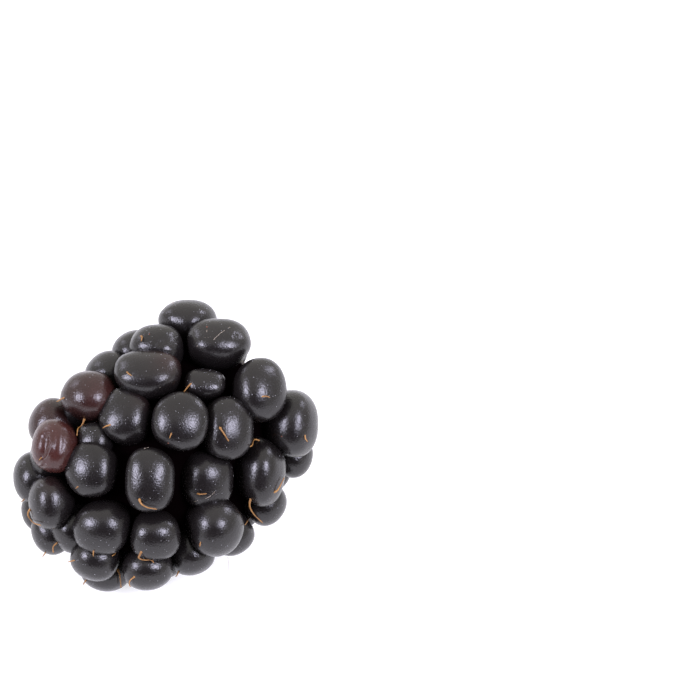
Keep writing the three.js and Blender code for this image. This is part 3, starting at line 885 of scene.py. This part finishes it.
def make_fine_lines(name, lines, on_skin, skin, material):
    """One mesh of thin threads, each of them thinner towards its end."""
    shapes = []
    for bends in lines:
        path = fine_path(bends, on_skin, skin)
        radii = np.linspace(HAIR["radius"], HAIR["end_radius"], len(path))
        shapes.append(tube(path, radii, HAIR["sides"]))
    add_mesh(name, *joined(shapes), material, "style")


def make_dots(skin, material):
    directions, faces = ball(DOT_DETAIL)
    shapes = [(skin.seen(across, up)[0] + radius * directions, faces) for across, up, radius in DOTS]
    add_mesh("rusty_dots", *joined(shapes), material, "style")


def dust_number(use, k, n):
    """The scattered number for speck n of drupelet k."""
    first, step = DUST_SEEDS[use]
    return scatter(first + step * k + n)


def specks(k, drupelet, vertices, directions):
    """Points of each speck of dust on one drupelet, flattened against its skin."""
    for n in range(DUST["each"]):
        vertex = vertices[int((dust_number("place", k, n) + 1) / 2 * (len(vertices) - 1))]
        normal = np.array(vertex.normal)
        if normal @ drupelet["normal"] >= DUST["facing"]:
            speck = DUST["size"] * (1 + DUST["unevenness"] * dust_number("size", k, n)) * directions
            speck -= (1 - DUST["flatness"]) * (speck @ normal)[:, None] * normal
            yield speck + np.array(vertex.co) / MM


def make_dust(drupelets, objects, material):
    directions, faces = ball(DUST["detail"])
    shapes = []
    for k, (drupelet, obj) in enumerate(zip(drupelets, objects)):
        shapes += [(points, faces) for points in specks(k, drupelet, obj.data.vertices, directions)]
    add_mesh("dust", *joined(shapes), material, "style")


# ---- materials ----

NOISE_RANGE = (0.3, 0.7)  # nearly all of a noise lies between these
COLOUR_INPUTS, COLOUR_OUTPUT = (6, 7), 2  # the sockets of a Mix node that are for colours
RANGE_INPUTS = ("From Min", "From Max", "To Min", "To Max")

SKIN_BLACK = ((0.0055, 0.0045, 0.0045), (0.0095, 0.008, 0.008))
SKIN_RED = ((0.028, 0.007, 0.006), (0.05, 0.0155, 0.0125))
SKIN_ROUGHNESS = (0.22, 0.29)
SKIN_SPECULAR = 0.42
# Noises of the skin: (scale, detail), and bumps: (height, strength).
SKIN_NOISES = {"patches": (450, 3), "mottle": (2600, 3), "grain": (6500, 2), "waves": (1300, 2)}
SKIN_BUMPS = {"waves": (0.00003, 0.25), "grain": (0.000038, 0.65)}

CORE_PALE = ((0.5, 0.5, 0.3), (0.38, 0.3, 0.17))
CORE_DARK = (0.008, 0.003, 0.004)
CORE_NOISE, CORE_BUMP, CORE_ROUGHNESS = (900, 4), (0.0002, 0.8), 0.65

# Simpler looks: (first colour, second colour, scale of the patches, roughness, specular).
LOOKS = {
    # Painted shade: the flesh is near black with no reflection, so that the creases between the drupelets
    # read as dark shade.
    "flesh": ((0.002, 0.0008, 0.001), (0.001, 0.0005, 0.0006), 400, 1.0, 0.0),
    "withered_style": ((0.42, 0.21, 0.05), (0.09, 0.032, 0.01), 1500, 0.6, 0.5),
    "rusty_dots": ((0.2, 0.05, 0.02), (0.06, 0.015, 0.008), 1500, 0.6, 0.5),
    "hair": ((0.5, 0.42, 0.34), (0.3, 0.25, 0.2), 1500, 0.6, 0.5),
    "dust": ((0.4, 0.4, 0.42), (0.2, 0.2, 0.22), 1500, 0.8, 0.5),
}
LOOK_DETAIL = 3


def new_material(name):
    material = bpy.data.materials.new(name)
    material.use_nodes = True
    nodes = material.node_tree.nodes
    return material, nodes, nodes["Principled BSDF"]


def wire(output, socket):
    """Joins two sockets of one node tree."""
    socket.id_data.links.new(output, socket)


def add_node(nodes, kind, **values):
    """A new node with its inputs and settings by name."""
    node = nodes.new(kind)
    for key, value in values.items():
        if key in node.inputs:
            node.inputs[key].default_value = value
        else:
            setattr(node, key, value)
    return node


def object_noise(nodes, scale, detail):
    place = add_node(nodes, "ShaderNodeTexCoord")
    noise = add_node(nodes, "ShaderNodeTexNoise", Scale=scale, Detail=detail)
    wire(place.outputs["Object"], noise.inputs["Vector"])
    return noise.outputs["Fac"]


def point_number(nodes, name):
    """The number that give_points() gave the mesh."""
    return add_node(nodes, "ShaderNodeAttribute", attribute_name=name).outputs["Fac"]


def mix_colours(nodes, factor, first, second):
    """Each colour is a tuple or the socket that gives it."""
    mix = add_node(nodes, "ShaderNodeMix", data_type="RGBA")
    wire(factor, mix.inputs["Factor"])
    for index, colour in zip(COLOUR_INPUTS, (first, second)):
        if isinstance(colour, tuple):
            mix.inputs[index].default_value = (*colour, 1.0)
        else:
            wire(colour, mix.inputs[index])
    return mix.outputs[COLOUR_OUTPUT]


def remap(nodes, value, before, after):
    node = nodes.new("ShaderNodeMapRange")
    for name, number in zip(RANGE_INPUTS, (*before, *after)):
        node.inputs[name].default_value = number
    wire(value, node.inputs["Value"])
    return node.outputs["Result"]


def add_bump(nodes, pattern, height, strength, under=None):
    """Raises a pattern from the surface, or from the bumps under it."""
    bump = add_node(nodes, "ShaderNodeBump", Strength=strength, Distance=height)
    wire(pattern, bump.inputs["Height"])
    if under is not None:
        wire(under, bump.inputs["Normal"])
    return bump.outputs["Normal"]


def skin_material():
    """Near-black satin skin with a fine grain, redder where it is less ripe."""
    material, nodes, shader = new_material("berry_skin")
    noises = {name: object_noise(nodes, *noise) for name, noise in SKIN_NOISES.items()}
    black = mix_colours(nodes, noises["patches"], *SKIN_BLACK)
    red = mix_colours(nodes, noises["mottle"], *SKIN_RED)
    colour = mix_colours(nodes, point_number(nodes, "unripe"), black, red)
    wire(colour, shader.inputs["Base Color"])
    roughness = remap(nodes, noises["mottle"], NOISE_RANGE, SKIN_ROUGHNESS)
    wire(roughness, shader.inputs["Roughness"])
    shader.inputs["Specular IOR Level"].default_value = SKIN_SPECULAR
    normal = None
    for name, bump in SKIN_BUMPS.items():
        normal = add_bump(nodes, noises[name], *bump, under=normal)
    wire(normal, shader.inputs["Normal"])
    return material


def receptacle_material():
    """Pale and fibrous in the middle, darker towards its sides."""
    material, nodes, shader = new_material("receptacle")
    patches = object_noise(nodes, *CORE_NOISE)
    pale = mix_colours(nodes, patches, *CORE_PALE)
    colour = mix_colours(nodes, point_number(nodes, "darkening"), pale, CORE_DARK)
    wire(colour, shader.inputs["Base Color"])
    shader.inputs["Roughness"].default_value = CORE_ROUGHNESS
    wire(add_bump(nodes, patches, *CORE_BUMP), shader.inputs["Normal"])
    return material


def simple_material(name):
    first, second, scale, roughness, specular = LOOKS[name]
    material, nodes, shader = new_material(name)
    patches = object_noise(nodes, scale, LOOK_DETAIL)
    wire(mix_colours(nodes, patches, first, second), shader.inputs["Base Color"])
    shader.inputs["Roughness"].default_value = roughness
    shader.inputs["Specular IOR Level"].default_value = specular
    return material


# ---- studio ----

CAMERA_DISTANCE = 1.2
SENSOR = 36.0
CLIP_END = 50.0
BERRY_PX = (170.0, 447.0)  # where the middle of the berry lies in the picture
WORLD_LIGHT = 0.93
WORLD_COLOUR = (1.0, 0.97, 0.93)
# The dark room behind the camera: in degrees, how far below the camera its middle is, and how
# far from there it ends and is darkest.
DARK_ROOM = {"below_camera": 35.0, "edge": 49.0, "core": 32.0, "light": 0.01}
# The surroundings brighten overhead, from this height to this many times their light.
OVERHEAD = {"from": 0.1, "light": 1.55}
LIGHT_DISTANCE = 0.8
LIGHT_COLOUR = (0.82, 0.8, 1.0)
# Each light: (name, degrees to the right of the camera, degrees above it, size, power).
LIGHTS = (
    ("key_left", -48, 5, 0.32, 7.0),
    ("key_right", 32, 5, 0.32, 7.0),
    ("back_left", -95, 45, 0.16, 0.7),
    ("back_right", 85, 45, 0.16, 1.6),
)
FLOOR = {"radius": 6.0, "sides": 96, "roughness": 0.9, "light": 0.55}
FLOOR_COLOUR = (0.6, 0.6, 0.6, 1.0)
WHITE = (1.0, 1.0, 1.0, 1.0)


def make_camera(middle):
    """Looks straight at the best side, turned so that the berry lies left of and below the middle."""
    camera = bpy.data.cameras.new("camera")
    camera.sensor_width = SENSOR
    camera.lens = SENSOR * CAMERA_DISTANCE / (IMAGE_PX * MM_PER_PX * MM)
    camera.clip_end = CLIP_END
    obj = add_object("camera", camera)
    right = (IMAGE_PX / 2 - BERRY_PX[0]) * MM_PER_PX * MM
    above = (BERRY_PX[1] - IMAGE_PX / 2) * MM_PER_PX * MM
    look = unit(right * ACROSS + above * UP - CAMERA_DISTANCE * TOWARD)
    sideways = unit(ACROSS - (ACROSS @ look) * look)
    axes = np.stack([sideways, np.cross(sideways, look), -look], axis=1)
    place = Vector(middle * MM + CAMERA_DISTANCE * TOWARD)
    obj.matrix_world = Matrix.LocRotScale(place, Matrix(axes), None)
    bpy.context.scene.camera = obj


def soft_light(name, middle, direction, size, power):
    light = bpy.data.lights.new(name, "AREA")
    light.shape = "DISK"
    light.size = size
    light.energy = power
    light.color = LIGHT_COLOUR
    obj = add_object(name, light)
    obj.location = Vector(middle * MM + direction * LIGHT_DISTANCE)
    obj.rotation_euler = Vector(-direction).to_track_quat("-Z", "Y").to_euler()


def studio_direction(sideways, above):
    """A direction from the berry, in degrees to the right of the camera and above it."""
    a, u = math.radians(sideways), math.radians(above)
    return math.cos(u) * (math.cos(a) * TOWARD + math.sin(a) * ACROSS) + math.sin(u) * UP


def world_share(nodes, direction):
    """How squarely each direction of the surroundings lies in the given one."""
    place = add_node(nodes, "ShaderNodeTexCoord")
    dot = add_node(nodes, "ShaderNodeVectorMath", operation="DOT_PRODUCT")
    dot.inputs[1].default_value = direction
    wire(place.outputs["Generated"], dot.inputs[0])
    return dot.outputs["Value"]


def make_world():
    """White surroundings with a dark room behind the camera."""
    world = bpy.data.worlds.new("studio")
    bpy.context.scene.world = world
    world.use_nodes = True
    nodes = world.node_tree.nodes
    room = world_share(nodes, studio_direction(0, -DARK_ROOM["below_camera"]))
    bounds = [math.cos(math.radians(DARK_ROOM[k])) for k in ("edge", "core")]
    light = remap(nodes, room, bounds, (WORLD_LIGHT, DARK_ROOM["light"]))
    height = world_share(nodes, UP)
    overhead = remap(nodes, height, (OVERHEAD["from"], 1.0), (1.0, OVERHEAD["light"]))
    product = add_node(nodes, "ShaderNodeMath", operation="MULTIPLY")
    for socket, value in zip(product.inputs, (light, overhead)):
        wire(value, socket)
    wire(product.outputs["Value"], nodes["Background"].inputs["Strength"])
    nodes["Background"].inputs["Color"].default_value = (*WORLD_COLOUR, 1.0)


def make_floor():
    """A pale floor that is lit evenly by a little light of its own."""
    mesh = bmesh.new()
    bmesh.ops.create_circle(mesh, cap_ends=True, radius=FLOOR["radius"], segments=FLOOR["sides"])
    data = bpy.data.meshes.new("floor")
    mesh.to_mesh(data)
    mesh.free()
    material, _, shader = new_material("floor")
    shader.inputs["Base Color"].default_value = FLOOR_COLOUR
    shader.inputs["Roughness"].default_value = FLOOR["roughness"]
    shader.inputs["Emission Color"].default_value = WHITE
    shader.inputs["Emission Strength"].default_value = FLOOR["light"]
    data.materials.append(material)
    add_object("floor", data)


def make_studio(middle):
    make_camera(middle)
    make_world()
    make_floor()
    for name, sideways, above, size, power in LIGHTS:
        soft_light(name, middle, studio_direction(sideways, above), size, power)


# ---- the berry ----


def make_berry():
    """Makes every piece, and gives the place of the berry's middle, in millimetres."""
    drupelets = lay_out()
    move = resting_move(drupelets)
    for drupelet in drupelets:
        drupelet["lean"] = dome_lean(drupelet)
        drupelet["sides"] = dome_sides(drupelet)
        drupelet["maps"] = dome_maps(drupelet)
    look = {name: simple_material(name) for name in LOOKS}
    skin_look = skin_material()
    objects = [make_drupelet(k, drupelets, move, skin_look) for k in range(len(drupelets))]
    make_flesh(drupelets, move, look["flesh"])
    make_receptacle(move, receptacle_material())
    skin = Skin(objects, move)
    for k, path in enumerate(style_paths(drupelets, skin)):
        make_style(k, path, look["withered_style"])
    make_fine_lines("fine_hairs", HAIRS, False, skin, look["hair"])
    make_fine_lines("scratches", SCRATCHES, True, skin, look["hair"])
    make_dots(skin, look["rusty_dots"])
    make_dust(drupelets, objects, look["dust"])
    return move


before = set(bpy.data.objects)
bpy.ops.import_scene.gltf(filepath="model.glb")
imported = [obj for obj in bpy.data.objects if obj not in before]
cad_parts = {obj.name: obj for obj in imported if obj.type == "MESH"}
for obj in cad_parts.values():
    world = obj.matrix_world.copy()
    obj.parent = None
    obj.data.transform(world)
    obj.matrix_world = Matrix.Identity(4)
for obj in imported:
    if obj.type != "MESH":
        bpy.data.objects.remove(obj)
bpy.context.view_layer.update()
bpy.context.scene.view_settings.view_transform = "Standard"
make_studio(make_berry())
